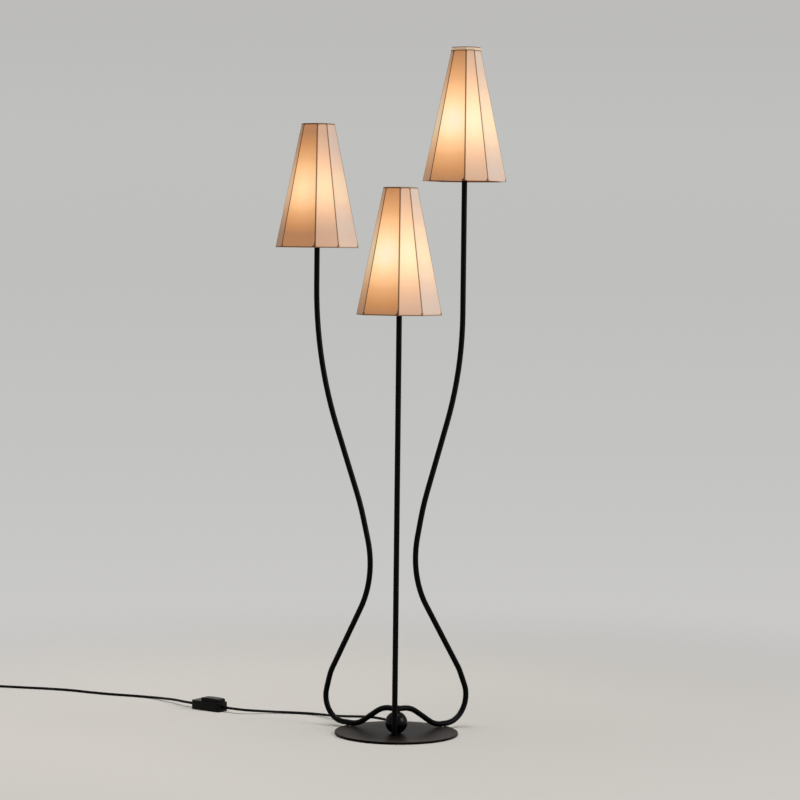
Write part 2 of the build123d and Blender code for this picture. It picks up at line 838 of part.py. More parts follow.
# ---- tie round the coil, opposite the place where the cord comes in ----
tie_bearing = coil_start_bearing + 180
tie_inner_radius = coil_radius - 1.5 * coil_pitch - cord_radius - tie_gap
tie_outer_radius = coil_radius - 0.5 * coil_pitch + cord_radius + tie_gap
tie_span = tie_outer_radius - tie_inner_radius
tie_tall = coil_high + cord_radius + tie_gap
outer_loop = Box(tie_span + 2 * tie_thickness, tie_width, tie_tall + tie_thickness)
outer_loop = fillet(outer_loop.edges().filter_by(Axis.Y), cord_radius)
inner_loop = Box(tie_span, tie_width + 2, tie_tall - tie_thickness)
inner_loop = fillet(inner_loop.edges().filter_by(Axis.Y), cord_radius - tie_thickness)
tie = Pos(0, 0, (tie_tall + tie_thickness) / 2) * (outer_loop - inner_loop)
tie_place = coil_middle + direction(tie_bearing) * (tie_inner_radius + tie_outer_radius) / 2
save("coil_tie", Pos(tie_place.X, tie_place.Y, 0) * Rot(0, 0, tie_bearing) * tie)

# ---- plug and the tail of the cord ----
plug_along = direction(plug_bearing)
plug_height = plug_body_thickness / 2
plug_cord_end = Vector(-1092, 500, plug_height)
plug_body_start = plug_cord_end + plug_along * relief_length
plug_body_end = plug_body_start + plug_along * plug_body_length
tail_points = [
    tail_start,
    tail_start + coil_exit_along * tail_run,
    plug_cord_end - plug_along * tail_run,
    plug_cord_end,
]
tail_length = cord_tube("cord_tail", tail_points)

half_neck = plug_neck_width / 2
half_width = plug_width / 2
flare = plug_body_length * plug_flare_share
outline = Polyline(
    (0, -half_neck),
    (flare, -half_width),
    (plug_body_length, -half_width),
    (plug_body_length, half_width),
    (flare, half_width),
    (0, half_neck),
    close=True,
)
shell = extrude(make_face(outline), plug_body_thickness)
shell = fillet(shell.edges().filter_by(Axis.Z), plug_corner_radius)
shell = fillet(shell.edges().group_by(Axis.Z)[-1], plug_edge_radius)
pins = []
for offset in (-plug_pin_spacing / 2, plug_pin_spacing / 2):
    root = Vector(plug_body_length - plug_pin_socket, offset, plug_height)
    face = Vector(plug_body_length + face_clearance, offset, plug_height)
    tip = Vector(plug_body_length + plug_pin_length, offset, plug_height)
    shell -= rod(root, tip, plug_pin_shank_diameter / 2 + press_clearance)
    pins.append(rod(face, tip, plug_pin_diameter / 2) + rod(root, face, plug_pin_shank_diameter / 2))
plug_place = Pos(plug_body_start.X, plug_body_start.Y, 0) * Rot(0, 0, plug_bearing)
plug_body = plug_place * shell
sleeve_start = plug_body_start + plug_along * plug_relief_overlap
sleeve_length = relief_length + plug_relief_overlap
sleeve_back = plug_along * -1
sleeve = tapered_relief(sleeve_start, sleeve_back, relief_root_diameter, relief_tip_diameter, sleeve_length)
plug_body += sleeve
save("plug_body", plug_body)
save("plug_pins", *[plug_place * pin for pin in pins])


# ---- foot switch, made along X and then turned; +X is the end farther along the cord ----
def rounded_block(near, far, width, near_radius, far_radius, low, high):
    """Upright block with one corner radius at its near end and another at its far end."""
    block = Pos((near + far) / 2, 0, low) * Box(
        far - near, width, high - low, align=(Align.CENTER, Align.CENTER, Align.MIN)
    )
    corners = block.edges().filter_by(Axis.Z).sort_by(Axis.X)
    block = fillet(corners[:2], max(smallest_corner, near_radius))
    corners = block.edges().filter_by(Axis.Z).sort_by(Axis.X)
    return fillet(corners[-2:], max(smallest_corner, far_radius))


def switch_block(low, high, inset=0.0):
    end = switch_length / 2 - inset
    width = switch_width - 2 * inset
    near_radius = switch_near_radius - inset
    return rounded_block(-end, end, width, near_radius, switch_far_radius - inset, low, high)


def relief_hole():
    low = Vector(-switch_length, 0, switch_exit_height)
    high = Vector(switch_length, 0, switch_exit_height)
    return rod(low, high, bush_diameter / 2 + press_clearance)


def pedal_block(low, high, outset=0.0):
    near = pedal_near_end - outset
    far = pedal_far_end + outset
    width = pedal_width + 2 * outset
    near_radius = pedal_near_radius + outset
    return rounded_block(near, far, width, near_radius, pedal_far_radius + outset, low, high)


pedal_far_end = pedal_length / 2 - pedal_shift
pedal_near_end = -pedal_length / 2 - pedal_shift
pivot_x = pedal_near_end + pedal_pivot_inset
pivot_z = switch_height - pedal_depth / 2

switch_base = switch_block(0, switch_split)
switch_base = fillet(switch_base.edges().group_by(Axis.Z)[0], switch_edge_radius)
switch_base -= switch_block(switch_wall, switch_split + 1, switch_wall)
screw_x = switch_length / 2 - switch_screw_inset
screw_places = [(screw_x, switch_screw_offset), (screw_x, -switch_screw_offset)]
for x, y in screw_places:
    switch_base += Pos(x, y, 0) * disc(switch_screw_diameter, switch_wall, switch_split)
switch_base -= relief_hole()
for x, y in screw_places:
    switch_base -= Pos(x, y, 0) * disc(switch_screw_diameter / 2 + thread_clearance, -1, switch_split + 1)
    switch_base -= Pos(x, y, 0) * disc(switch_screw_diameter, -1, switch_screw_recess)

cover = switch_block(switch_split + face_clearance, switch_height)
cover = fillet(cover.edges().group_by(Axis.Z)[-1], switch_edge_radius)
cover_ceiling = switch_height - switch_wall
cavity = switch_block(switch_split - 1, cover_ceiling, switch_wall)
pivot_block = Box(pivot_block_length, switch_width, 2 * pedal_depth)
cavity -= Pos(pivot_x, 0, switch_height - pedal_depth) * pivot_block
cover -= cavity
for x, y in screw_places:
    boss = disc(switch_screw_diameter, switch_split + face_clearance, cover_ceiling + switch_boss_overlap)
    cover += Pos(x, y, 0) * boss
for x, y in screw_places:
    bore = disc(switch_screw_diameter / 2 + thread_clearance, 0, switch_split + switch_screw_length)
    cover -= Pos(x, y, 0) * bore
cover -= pedal_block(0, 2 * switch_height, pedal_gap)
cover -= relief_hole()
pivot_low = Vector(pivot_x, -pedal_width / 2 - trunnion_length - pedal_gap, pivot_z)
pivot_high = Vector(pivot_x, pedal_width / 2 + trunnion_length + pedal_gap, pivot_z)
cover -= rod(pivot_low, pivot_high, trunnion_diameter / 2 + thread_clearance)

pedal_low = switch_height - pedal_depth
pedal_top = switch_height + pedal_rise
outline = Polyline(
    (pedal_near_end, pedal_top - pedal_near_drop),
    (pedal_near_end, pedal_low),
    (pedal_far_end, pedal_low),
    (pedal_far_end, pedal_top - pedal_far_drop),
)
crown = ((pedal_near_end + pedal_far_end) / 2, pedal_top)
outline += ThreePointArc(outline @ 1, crown, outline @ 0)
pedal = extrude(Plane.XZ * make_face(outline), pedal_width, both=True)
pedal &= pedal_block(0, 2 * pedal_top)
pedal = fillet(pedal.faces().sort_by(Axis.Z)[-1].edges(), pedal_edge_radius)
hollow_near = pivot_x + trunnion_diameter / 2 + pedal_wall
hollow_far = pedal_far_end - pedal_wall
seat_height = pedal_top - pedal_ceiling
hollow = Box(hollow_far - hollow_near, pedal_width - 2 * pedal_wall, 2 * (seat_height - pedal_low))
pedal -= Pos((hollow_near + hollow_far) / 2, 0, pedal_low) * hollow
pedal += rod(
    pivot_low + Vector(0, pedal_gap / 2, 0), pivot_high - Vector(0, pedal_gap / 2, 0), trunnion_diameter / 2
)

spring_x = pedal_far_end - spring_inset - spring_diameter / 2
spring_low = switch_wall + spring_gap + spring_wire / 2
spring_high = seat_height - spring_gap - spring_wire / 2
pitch = (spring_high - spring_low) / spring_turns
coil_line = Helix(pitch, spring_high - spring_low, spring_diameter / 2 - spring_wire / 2)
spring_section = Plane(origin=coil_line @ 0, z_dir=coil_line % 0) * Circle(spring_wire / 2)
spring = Pos(spring_x, 0, spring_low) * sweep(spring_section, path=coil_line)

blades = []
for x in (contact_middle - contact_spacing / 2, contact_middle + contact_spacing / 2):
    blade = Box(contact_length, contact_width, contact_height, align=(Align.CENTER, Align.CENTER, Align.MIN))
    blades.append(Pos(x, 0, switch_wall + face_clearance) * blade)

screws = []
for x, y in screw_places:
    shank = disc(switch_screw_diameter / 2, cord_floor_gap, switch_split + switch_screw_length - 1)
    head = disc(switch_screw_diameter - seat_clearance, cord_floor_gap, switch_screw_recess - face_clearance)
    screws.append(Pos(x, y, 0) * (shank + head))

reliefs = []
for sign in (-1, 1):
    end = Vector(sign * switch_length / 2, 0, switch_exit_height)
    out = Vector(sign, 0, 0)
    sleeve = tapered_relief(end, out, relief_root_diameter, relief_tip_diameter)
    sleeve += rod(end - out * bush_length, end + out, bush_diameter / 2)
    reliefs.append(sleeve)

switch_place = Pos(switch_centre[0], switch_centre[1], 0) * Rot(0, 0, switch_bearing)
save("switch_base", switch_place * switch_base)
save("switch_cover", switch_place * cover)
save("switch_pedal", switch_place * pedal)
save("switch_spring", switch_place * spring)
save("switch_contacts", *[switch_place * blade for blade in blades])
save("switch_screws", *[switch_place * screw for screw in screws])
save("switch_reliefs", *[switch_place * relief for relief in reliefs])

cord_length = lead_length + run_length + coil_path.length + tail_length + switch_length + 3 * relief_length
print("whole cord", round(cord_length))
pivot_place = (switch_place * Pos(pivot_x, 0, pivot_z)).position
print("pedal pivot", pivot_place)
for side in STEMS:
    axis = stem_axis(side)
    print(side, "axis", round(axis.X, 2), round(axis.Y, 2), "holder", round(holder_base(side), 2))
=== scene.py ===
import math

import bmesh
import bpy
from mathutils import Matrix, Vector


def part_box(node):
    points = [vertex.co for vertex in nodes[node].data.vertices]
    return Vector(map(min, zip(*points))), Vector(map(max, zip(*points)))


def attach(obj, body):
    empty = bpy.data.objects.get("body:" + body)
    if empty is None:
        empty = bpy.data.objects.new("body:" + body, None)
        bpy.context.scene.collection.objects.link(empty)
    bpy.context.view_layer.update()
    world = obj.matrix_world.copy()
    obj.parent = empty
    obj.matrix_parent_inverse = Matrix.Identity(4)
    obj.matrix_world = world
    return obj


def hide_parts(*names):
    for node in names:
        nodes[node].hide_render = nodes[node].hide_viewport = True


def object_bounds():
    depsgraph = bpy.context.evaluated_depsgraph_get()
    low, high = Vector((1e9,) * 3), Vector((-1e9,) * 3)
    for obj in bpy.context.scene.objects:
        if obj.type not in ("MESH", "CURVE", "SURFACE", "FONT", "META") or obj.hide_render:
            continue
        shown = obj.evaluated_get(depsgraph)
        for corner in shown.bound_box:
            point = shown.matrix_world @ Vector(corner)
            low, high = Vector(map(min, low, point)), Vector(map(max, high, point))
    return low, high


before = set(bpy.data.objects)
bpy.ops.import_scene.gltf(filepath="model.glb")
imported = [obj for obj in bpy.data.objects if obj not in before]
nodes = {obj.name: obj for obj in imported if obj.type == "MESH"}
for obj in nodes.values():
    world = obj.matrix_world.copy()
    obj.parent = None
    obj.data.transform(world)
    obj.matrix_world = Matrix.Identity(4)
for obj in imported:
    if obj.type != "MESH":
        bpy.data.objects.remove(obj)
cad_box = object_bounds()
MM = 0.001


# ---- camera: chest height, long lens, as the photograph was taken ----
CAMERA_PLACE = (0.0, -6.280, 1.100)
CAMERA_DOWN = 3.09
CAMERA_ROLL = 0.65
SENSOR_WIDTH = 36.0
LENS = 125.2
SIGHT = 60.0


def place_camera():
    data = bpy.data.cameras.new("photo_camera")
    data.sensor_width = SENSOR_WIDTH
    data.lens = LENS
    data.clip_end = SIGHT
    camera = bpy.data.objects.new("photo_camera", data)
    bpy.context.scene.collection.objects.link(camera)
    tilt = Matrix.Rotation(math.radians(90.0 - CAMERA_DOWN), 4, "X")
    roll = Matrix.Rotation(math.radians(CAMERA_ROLL), 4, "Z")
    camera.matrix_world = Matrix.Translation(CAMERA_PLACE) @ (tilt @ roll)
    bpy.context.scene.camera = camera


place_camera()


# ---- small helpers ----
def direction(bearing):
    """Level unit vector at a bearing in degrees, from +X towards +Y."""
    turn = math.radians(bearing)
    return Vector((math.cos(turn), math.sin(turn), 0.0))


def linear(hexcode, alpha=1.0):
    """sRGB hex to a linear colour."""
    parts = [int(hexcode[i : i + 2], 16) / 255.0 for i in (1, 3, 5)]
    parts = [c / 12.92 if c <= 0.04045 else ((c + 0.055) / 1.055) ** 2.4 for c in parts]
    return (*parts, alpha)


# A colour Mix node's own sockets: its two colours and what comes out.
COLOUR_A = 6
COLOUR_B = 7
MIXED = 2


def add_node(tree, kind, links=None, stops=(), **settings):
    """Adds a shader node with its properties, its sockets' values or links, and a ramp's stops."""
    shader = tree.nodes.new(kind)
    for name, value in settings.items():
        setattr(shader, name, value)
    for name, value in (links or {}).items():
        if isinstance(value, bpy.types.NodeSocket):
            tree.links.new(value, shader.inputs[name])
        else:
            shader.inputs[name].default_value = value
    if stops:
        elements = shader.color_ramp.elements
        while len(elements) < len(stops):
            elements.new(0.5)
        for element, (step, tone) in zip(elements, stops):
            element.position = step
            element.color = linear(tone)
    return shader


def add_object(name, mesh, material):
    """Turns a bmesh into an object with its place in its mesh."""
    data = bpy.data.meshes.new(name)
    mesh.to_mesh(data)
    mesh.free()
    data.materials.append(material)
    piece = bpy.data.objects.new(name, data)
    bpy.context.scene.collection.objects.link(piece)
    return piece


# ---- cord: one lead to the foot switch, one from there to the plug ----
CORD = 6.0 * MM
HUB_REACH = 39.2
HUB_STRAIGHT = 22
SWITCH_REACH = 57.0
SWITCH_STRAIGHT = 24
ball_centre = Vector((0.0, -22.0, 30.107)) * MM
cord_out = direction(124.0)
hub_exit = ball_centre + cord_out * HUB_REACH * MM
switch_along = direction(143.0)
switch_middle = Vector((-445.6, 303.5, 10.5)) * MM
near_exit = switch_middle - switch_along * SWITCH_REACH * MM
far_exit = switch_middle + switch_along * SWITCH_REACH * MM

lead_route = [
    hub_exit,
    hub_exit + cord_out * HUB_STRAIGHT * MM,
    Vector((-63, 67, 27.5)) * MM,
    Vector((-90, 101, 22)) * MM,
    Vector((-120, 143, 15)) * MM,
    Vector((-152, 194, 7.5)) * MM,
    Vector((-190, 240, 3.6)) * MM,
    Vector((-222, 253, 3.2)) * MM,
    Vector((-256, 259, 3.4)) * MM,
    Vector((-290, 258, 4.4)) * MM,
    Vector((-324, 253, 6.8)) * MM,
    Vector((-354, 248, 9.0)) * MM,
    near_exit - switch_along * SWITCH_STRAIGHT * MM,
    near_exit,
]

COIL_RADIUS = 39.9
COIL_PITCH = 6.6
COIL_TURNS = 4.25
COIL_STEPS = 16
COIL_STRAIGHT = 26
TURNS_IN = 2.0
CLIMB_FROM = 1.75
CLIMB_TURNS = 0.5
coil_start = 77.0
coil_along = direction(coil_start + 90.0)
coil_entry = Vector((-1045, 614, 4.0)) * MM
coil_middle = coil_entry - direction(coil_start) * COIL_RADIUS * MM
coil_join = coil_entry - coil_along * CORD


def coil_point(turns):
    """In on the floor layer, up in half a turn, out again on the layer above."""
    radius = (COIL_RADIUS - COIL_PITCH * (TURNS_IN - abs(turns - TURNS_IN))) * MM
    climb = min(1.0, max(0.0, (turns - CLIMB_FROM) / CLIMB_TURNS))
    level = Vector((0.0, 0.0, COIL_PITCH * MM * climb))
    return coil_middle + level + direction(coil_start + 360.0 * turns) * radius


run_route = [
    far_exit,
    far_exit + switch_along * SWITCH_STRAIGHT * MM,
    Vector((-532, 385, 9.4)) * MM,
    Vector((-554, 412, 7.2)) * MM,
    Vector((-577, 440, 4.6)) * MM,
    Vector((-603, 461, 3.2)) * MM,
    Vector((-644, 479, 3.2)) * MM,
    Vector((-700, 497, 3.2)) * MM,
    Vector((-755, 524, 3.2)) * MM,
    Vector((-810, 556, 3.2)) * MM,
    Vector((-870, 575, 3.2)) * MM,
    Vector((-935, 589, 3.2)) * MM,
    Vector((-985, 602, 3.2)) * MM,
    coil_join - coil_along * COIL_STRAIGHT * MM,
    coil_join,
]
run_route += [coil_point(step / COIL_STEPS) for step in range(int(COIL_TURNS * COIL_STEPS) + 1)]
TAIL_STRAIGHT = 20
tail_along = direction(coil_start + 90.0 + 360.0 * COIL_TURNS)
tail_start = coil_point(COIL_TURNS) + tail_along * CORD
plug_along = direction(283.0)
plug_cord_end = Vector((-1092, 500, 7)) * MM
run_route += [
    tail_start,
    tail_start + tail_along * TAIL_STRAIGHT * MM,
    plug_cord_end - plug_along * TAIL_STRAIGHT * MM,
    plug_cord_end,
]


def lay_cord(name, route, material):
    """One smooth line through the route's points, as thick as the cord."""
    line = bpy.data.curves.new(name, "CURVE")
    line.dimensions = "3D"
    line.bevel_depth = CORD / 2
    line.bevel_resolution = 5
    line.resolution_u = 6
    line.use_fill_caps = True
    spline = line.splines.new("NURBS")
    spline.points.add(len(route) - 1)
    for point, place in zip(spline.points, route):
        point.co = (*place, 1.0)
    spline.order_u = 3
    spline.use_endpoint_u = True
    line.materials.append(material)
    cord = bpy.data.objects.new(name, line)
    bpy.context.scene.collection.objects.link(cord)
    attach(cord, "lamp")
    return cord


# ---- materials ----
def new_material(name):
    material = bpy.data.materials.new(name)
    material.use_nodes = True
    tree = material.node_tree
    tree.nodes.clear()
    place = add_node(tree, "ShaderNodeTexCoord").outputs["Object"]
    return material, tree, place


def close_material(tree, surface):
    add_node(tree, "ShaderNodeOutputMaterial", {"Surface": surface})


def coated(name, tones, gloss, grain, depth, shine=0.5):
    """A coat or moulding: two close tones in soft patches, uneven gloss and a fine surface grain."""
    material, tree, place = new_material(name)
    patches = add_node(tree, "ShaderNodeTexNoise", {"Vector": place, "Scale": 1 / (60 * MM), "Detail": 3.0})
    tone = add_node(
        tree,
        "ShaderNodeMix",
        {"Factor": patches.outputs["Fac"], COLOUR_A: linear(tones[0]), COLOUR_B: linear(tones[1])},
        data_type="RGBA",
    )
    smears = add_node(tree, "ShaderNodeTexNoise", {"Vector": place, "Scale": 1 / (18 * MM), "Detail": 4.0})
    rough = add_node(
        tree, "ShaderNodeMapRange", {"Value": smears.outputs["Fac"], "To Min": gloss[0], "To Max": gloss[1]}
    )
    peel = add_node(tree, "ShaderNodeTexNoise", {"Vector": place, "Scale": 1 / (grain * MM), "Detail": 2.0})
    bump = add_node(
        tree, "ShaderNodeBump", {"Height": peel.outputs["Fac"], "Distance": depth * MM, "Strength": 0.6}
    )
    shader = add_node(
        tree,
        "ShaderNodeBsdfPrincipled",
        {
            "Base Color": tone.outputs[MIXED],
            "Roughness": rough.outputs["Result"],
            "Specular IOR Level": shine,
            "Normal": bump.outputs["Normal"],
        },
    )
    close_material(tree, shader.outputs["BSDF"])
    return material


# Polyester powder coat, baked: near-black satin with the slight orange peel of a sprayed tube.
powder_coat = coated("black_powder_coat", ("#020202", "#050505"), (0.30, 0.40), 1.6, 0.004, shine=0.06)
# Stoved enamel, polished: deep black with a hard highlight and next to no grain.
ball_enamel = coated("black_stoved_enamel", ("#030304", "#060608"), (0.18, 0.25), 3.0, 0.002, shine=0.12)
# Soft PVC sheath: black, drawn smooth, a wide dull highlight.
pvc_sheath = coated("black_pvc_sheath", ("#030303", "#060606"), (0.42, 0.54), 1.0, 0.006, shine=0.10)
# ABS, moulded in a polished tool: black with a clear highlight and faint flow marks.
abs_plastic = coated("black_moulded_abs", ("#030303", "#060606"), (0.24, 0.36), 2.5, 0.004, shine=0.12)
# Phenolic lampholder: black, pressed, duller than ABS.
phenolic = coated("black_phenolic", ("#0d0c0b", "#161412"), (0.32, 0.44), 1.6, 0.006)
# Polyamide terminal block: off-white, moulded, waxy.
polyamide = coated("off_white_polyamide", ("#cfc8b8", "#ddd6c6"), (0.40, 0.52), 1.6, 0.006)
# Wool felt, needled: dark, dull, with a loose nap.
wool_felt = coated("dark_wool_felt", ("#1c1b1a", "#2b2a28"), (0.88, 0.98), 0.9, 0.120)
# Dip-coated frame wire: dark brown under the fabric.
brown_wire = coated("brown_coated_wire", ("#55361d", "#654326"), (0.42, 0.54), 1.5, 0.006)


# The same coat in brown-black on the laser-cut plate, drawn paler towards its rim as a painted reflection,
# and near black on the upright cut edge as painted shade.
PLATE_REFLECTION_TONES = ((0.0, "#0e0b09"), (0.5, "#1a1512"), (1.0, "#3b342f"))


def sprayed_plate():
    material, tree, place = new_material("brown_black_powder_coat")
    from_middle = add_node(tree, "ShaderNodeVectorMath", {0: place}, operation="LENGTH")
    patches = add_node(tree, "ShaderNodeTexNoise", {"Vector": place, "Scale": 1 / (45 * MM), "Detail": 3.0})
    drift = add_node(
        tree, "ShaderNodeMapRange", {"Value": patches.outputs["Fac"], "To Min": -22 * MM, "To Max": 22 * MM}
    )
    # Painted reflection: the coat is drawn paler the further it lies from the middle, with a patchy reach.
    reflection_reach = add_node(
        tree, "ShaderNodeMath", {0: from_middle.outputs["Value"], 1: drift.outputs["Result"]}, operation="ADD"
    )
    outward = add_node(
        tree,
        "ShaderNodeMapRange",
        {"Value": reflection_reach.outputs["Value"], "From Min": 50 * MM, "From Max": 148 * MM},
    )
    top = add_node(tree, "ShaderNodeValToRGB", {"Fac": outward.outputs["Result"]}, stops=PLATE_REFLECTION_TONES)
    # Painted shade: the upright cut edge is drawn near black.
    facing = add_node(tree, "ShaderNodeNewGeometry").outputs["Normal"]
    upward = add_node(tree, "ShaderNodeSeparateXYZ", {0: facing})
    edge = add_node(
        tree, "ShaderNodeMapRange", {"Value": upward.outputs["Z"], "From Min": 0.3, "From Max": 0.9}
    )
    tone = add_node(
        tree,
        "ShaderNodeMix",
        {"Factor": edge.outputs["Result"], COLOUR_A: linear("#040303"), COLOUR_B: top.outputs["Color"]},
        data_type="RGBA",
    )
    peel = add_node(tree, "ShaderNodeTexNoise", {"Vector": place, "Scale": 1 / (1.4 * MM), "Detail": 2.0})
    bump = add_node(
        tree, "ShaderNodeBump", {"Height": peel.outputs["Fac"], "Distance": 0.008 * MM, "Strength": 0.6}
    )
    shader = add_node(
        tree,
        "ShaderNodeBsdfPrincipled",
        {
            "Base Color": tone.outputs[MIXED],
            "Roughness": 0.38,
            "Specular IOR Level": 0.05,
            "Normal": bump.outputs["Normal"],
        },
    )
    close_material(tree, shader.outputs["BSDF"])
    return material


plate_coat = sprayed_plate()


def metal(name, tones, gloss, squeeze):
    """Bare metal with fine level tool marks, squeezed along Z."""
    material, tree, place = new_material(name)
    lines = add_node(tree, "ShaderNodeMapping", {"Vector": place, "Scale": (1.0, 1.0, squeeze)})
    marks = add_node(
        tree, "ShaderNodeTexNoise", {"Vector": lines.outputs["Vector"], "Scale": 1 / (2 * MM), "Detail": 3.0}
    )
    tone = add_node(
        tree,
        "ShaderNodeMix",
        {"Factor": marks.outputs["Fac"], COLOUR_A: linear(tones[0]), COLOUR_B: linear(tones[1])},
        data_type="RGBA",
    )
    rough = add_node(
        tree, "ShaderNodeMapRange", {"Value": marks.outputs["Fac"], "To Min": gloss[0], "To Max": gloss[1]}
    )
    bump = add_node(
        tree, "ShaderNodeBump", {"Height": marks.outputs["Fac"], "Distance": 0.004 * MM, "Strength": 0.5}
    )
    shader = add_node(
        tree,
        "ShaderNodeBsdfPrincipled",
        {
            "Base Color": tone.outputs[MIXED],
            "Roughness": rough.outputs["Result"],
            "Normal": bump.outputs["Normal"],
            "Metallic": 1.0,
        },
    )
    close_material(tree, shader.outputs["BSDF"])
    return material


# Zinc plated steel: turned screws and inserts, bluish and bright.
zinc_steel = metal("zinc_plated_steel", ("#a9abad", "#c6c8ca"), (0.22, 0.36), 8.0)
# Turned brass: nipples, contacts and plug pins.
turned_brass = metal("turned_brass", ("#b88d48", "#d3aa62"), (0.20, 0.34), 8.0)
# Rolled aluminium cap of the bulb: pale and soft in its gloss.
rolled_aluminium = metal("rolled_aluminium", ("#b4b5b7", "#cfd0d2"), (0.30, 0.42), 12.0)


# ---- shades: eight panels of thin cotton over a brown wire frame ----
RIBS = (-91.0, -57.0, -1.0, 33.0, 89.0, 123.0, 179.0, 213.0)
WIDE_PANEL = 56.0
BOTTOM_RADIUS = 96.0
CLOTH = 1.1
SAG = 0.9
ROWS = 44
COLUMNS = 10
SHADES = {
    "left": dict(top=38.0, dim=1.23, tape=None),
    "centre": dict(top=38.0, dim=1.0, tape=None),
    "right": dict(top=32.0, dim=1.0, tape=9.6),
}
for side, shade in SHADES.items():
    low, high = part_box(side + "_shade_fabric")
    shade["axis"] = [round((low[i] + high[i]) / 2 / MM, 2) for i in range(2)]
    shade["low"] = round(low.z / MM, 1)
    shade["tall"] = round((high.z - low.z) / MM, 1)

# The glow by distance from the bulb, from 52 mm to 176 mm: cream to orange tan on the sides that
# see only the bulb, and, as painted light from the key lamp on the right, cream to a greyer tan on those
# turned to it.
GLOW_HEIGHT = 126.0
GLOW_NEAR = 52.0
GLOW_FAR = 176.0
GLOW_AWAY_FROM_KEY = (
    (0.00, "#ffe2cc"),
    (0.08, "#ffe3bd"),
    (0.16, "#ffd7a0"),
    (0.26, "#ffc48d"),
    (0.37, "#f3b57b"),
    (0.50, "#de9d63"),
    (0.65, "#cc8b53"),
    (0.81, "#b9773f"),
    (1.00, "#9e6338"),
)
GLOW_FACING_KEY = (
    (0.00, "#e6cc9e"),
    (0.08, "#dfcba4"),
    (0.16, "#dcc0a0"),
    (0.26, "#debb9b"),
    (0.37, "#d1ad97"),
    (0.50, "#c7a896"),
    (0.65, "#bba093"),
    (0.81, "#b29f95"),
    (1.00, "#b2998d"),
)
# Painted light: how much of the glow each side keeps, from turned right away from the key lamp to facing it.
KEY_LIGHT_SIDE = (0.875, -0.485, 0.0)
PAINTED_GLOW_LEVELS = ((0.0, "#a0a0a0"), (0.15, "#b2b2b2"), (0.5, "#eeeeee"), (0.85, "#ffffff"), (1.0, "#eeeeee"))
# The lampholder shades the cotton below the bulb, so the light falls off faster there.
BELOW_BULB = 0.24


def way_from_bulb(tree, place, shade):
    """Distance from the bulb, stretched below it."""
    bulb = (shade["axis"][0] * MM, shade["axis"][1] * MM, (shade["low"] + GLOW_HEIGHT) * MM)
    offset = add_node(tree, "ShaderNodeVectorMath", {0: place, 1: bulb}, operation="SUBTRACT")
    parts = add_node(tree, "ShaderNodeSeparateXYZ", {0: offset.outputs["Vector"]}).outputs
    below = add_node(tree, "ShaderNodeMath", {0: parts["Z"], 1: 0.0}, operation="MINIMUM")
    deepened = add_node(
        tree,
        "ShaderNodeMath",
        {0: below.outputs["Value"], 1: BELOW_BULB, 2: parts["Z"]},
        operation="MULTIPLY_ADD",
    )
    away = add_node(
        tree, "ShaderNodeCombineXYZ", {"X": parts["X"], "Y": parts["Y"], "Z": deepened.outputs["Value"]}
    )
    reach = add_node(tree, "ShaderNodeVectorMath", {0: away.outputs["Vector"]}, operation="LENGTH")
    return reach.outputs["Value"]


def level_slubs(tree, place):
    """Level threads a little thicker than the rest, 30 mm long and 1.2 mm apart."""
    weft = add_node(tree, "ShaderNodeMapping", {"Vector": place, "Scale": (1.0, 1.0, 26.0)})
    slubs = add_node(
        tree, "ShaderNodeTexNoise", {"Vector": weft.outputs["Vector"], "Scale": 1 / (30 * MM), "Detail": 3.0}
    )
    return slubs.outputs["Fac"]


